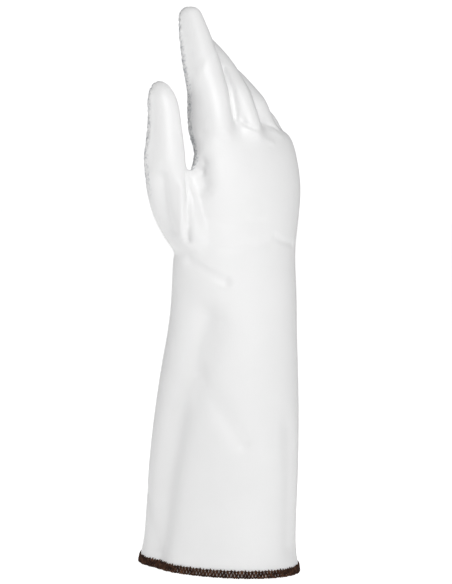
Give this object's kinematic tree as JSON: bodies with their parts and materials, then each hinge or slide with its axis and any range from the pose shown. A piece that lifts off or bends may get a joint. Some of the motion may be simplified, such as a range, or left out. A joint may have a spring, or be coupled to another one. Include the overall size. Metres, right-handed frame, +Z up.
{
  "type": "cryogenic glove",
  "caption": "Long-cuff insulated glove for the right hand: dipped white coating over padding and lining, bending fingers, thumb and wrist, overlocked hem.",
  "frame": {"origin": "centre of the cuff mouth, in the plane the hem rests on", "axes": "+Z up the sleeve to the fingertips, -X the thumb side, +Y the palm side"},
  "size_m": [0.1416, 0.128, 0.4363],
  "materials": {
    "coating": "satin dipped coating over a knitted carrier",
    "insulation": "non-woven thermal padding",
    "lining": "fine knitted lining",
    "thread": "spun overlock thread"
  },
  "bodies": {
    "gauntlet": {"gauntlet_coating": "coating", "gauntlet_insulation": "insulation", "gauntlet_lining": "lining", "hem_outer_looper": "thread", "hem_inner_looper": "thread", "hem_needle_thread": "thread"},
    "hand": {"hand_coating": "coating", "hand_insulation": "insulation", "hand_lining": "lining"},
    "knuckles": {"knuckles_coating": "coating", "index_root_insulation": "insulation", "middle_root_insulation": "insulation", "ring_root_insulation": "insulation", "little_root_insulation": "insulation", "knuckles_lining": "lining"},
    "index_mid": {"index_mid_coating": "coating", "index_mid_insulation": "insulation", "index_mid_lining": "lining"},
    "index_tip": {"index_tip_coating": "coating", "index_tip_insulation": "insulation", "index_tip_lining": "lining"},
    "middle_mid": {"middle_mid_coating": "coating", "middle_mid_insulation": "insulation", "middle_mid_lining": "lining"},
    "middle_tip": {"middle_tip_coating": "coating", "middle_tip_insulation": "insulation", "middle_tip_lining": "lining"},
    "ring_mid": {"ring_mid_coating": "coating", "ring_mid_insulation": "insulation", "ring_mid_lining": "lining"},
    "ring_tip": {"ring_tip_coating": "coating", "ring_tip_insulation": "insulation", "ring_tip_lining": "lining"},
    "little_mid": {"little_mid_coating": "coating", "little_mid_insulation": "insulation", "little_mid_lining": "lining"},
    "little_tip": {"little_tip_coating": "coating", "little_tip_insulation": "insulation", "little_tip_lining": "lining"},
    "thumb": {"thumb_coating": "coating", "thumb_insulation": "insulation", "thumb_lining": "lining"},
    "thumb_tip": {"thumb_tip_coating": "coating", "thumb_tip_insulation": "insulation", "thumb_tip_lining": "lining"}
  },
  "joints": [
    {"name": "wrist_bend", "type": "hinge", "parent": "gauntlet", "child": "hand", "pos_m": [0.0015, -0.0015, 0.245], "axis": [-1, 0, 0], "range_deg": [-12, 22], "stiffness_Nm_per_rad": 3},
    {"name": "knuckle_bend", "type": "hinge", "parent": "hand", "child": "knuckles", "pos_m": [0.007, -0.0055, 0.328], "axis": [-0.9903, -0.1392, 0], "range_deg": [-10, 32], "stiffness_Nm_per_rad": 1.2},
    {"name": "index_middle_bend", "type": "hinge", "parent": "knuckles", "child": "index_mid", "pos_m": [-0.03228, -0.00298, 0.37635], "axis": [-0.9903, -0.1392, 0], "range_deg": [-8, 40], "stiffness_Nm_per_rad": 0.15},
    {"name": "index_tip_bend", "type": "hinge", "parent": "index_mid", "child": "index_tip", "pos_m": [-0.03369, 0.00704, 0.40138], "axis": [-0.9903, -0.1392, 0], "range_deg": [-4.8, 24], "stiffness_Nm_per_rad": 0.08},
    {"name": "middle_middle_bend", "type": "hinge", "parent": "knuckles", "child": "middle_mid", "pos_m": [-0.00366, 0.00249, 0.37325], "axis": [-0.9903, -0.1392, 0], "range_deg": [-8, 40], "stiffness_Nm_per_rad": 0.15},
    {"name": "middle_tip_bend", "type": "hinge", "parent": "middle_mid", "child": "middle_tip", "pos_m": [-0.00632, 0.0214, 0.39373], "axis": [-0.9903, -0.1392, 0], "range_deg": [-4.8, 24], "stiffness_Nm_per_rad": 0.08},
    {"name": "ring_middle_bend", "type": "hinge", "parent": "knuckles", "child": "ring_mid", "pos_m": [0.02169, 0.01537, 0.36652], "axis": [-0.9903, -0.1392, 0], "range_deg": [-8, 40], "stiffness_Nm_per_rad": 0.15},
    {"name": "ring_tip_bend", "type": "hinge", "parent": "ring_mid", "child": "ring_tip", "pos_m": [0.01884, 0.03566, 0.38253], "axis": [-0.9903, -0.1392, 0], "range_deg": [-4.8, 24], "stiffness_Nm_per_rad": 0.08},
    {"name": "little_middle_bend", "type": "hinge", "parent": "knuckles", "child": "little_mid", "pos_m": [0.04517, 0.02717, 0.35304], "axis": [-0.9903, -0.1392, 0], "range_deg": [-8, 40], "stiffness_Nm_per_rad": 0.15},
    {"name": "little_tip_bend", "type": "hinge", "parent": "little_mid", "child": "little_tip", "pos_m": [0.04287, 0.04359, 0.36423], "axis": [-0.9903, -0.1392, 0], "range_deg": [-4.8, 24], "stiffness_Nm_per_rad": 0.08},
    {"name": "thumb_swing", "type": "hinge", "parent": "hand", "child": "thumb", "pos_m": [-0.0651, 0.00456, 0.334], "axis": [-0.5299, -0.848, 0], "range_deg": [0, 26], "stiffness_Nm_per_rad": 0.2},
    {"name": "thumb_tip_bend", "type": "hinge", "parent": "thumb", "child": "thumb_tip", "pos_m": [-0.06532, 0.00608, 0.35595], "axis": [-0.9903, -0.1392, 0], "range_deg": [-5, 30], "stiffness_Nm_per_rad": 0.08}
  ],
  "couplings": [
    {"joint": "index_tip_bend", "follows": "index_middle_bend", "ratio": 0.6},
    {"joint": "middle_tip_bend", "follows": "middle_middle_bend", "ratio": 0.6},
    {"joint": "ring_tip_bend", "follows": "ring_middle_bend", "ratio": 0.6},
    {"joint": "little_tip_bend", "follows": "little_middle_bend", "ratio": 0.6}
  ]
}
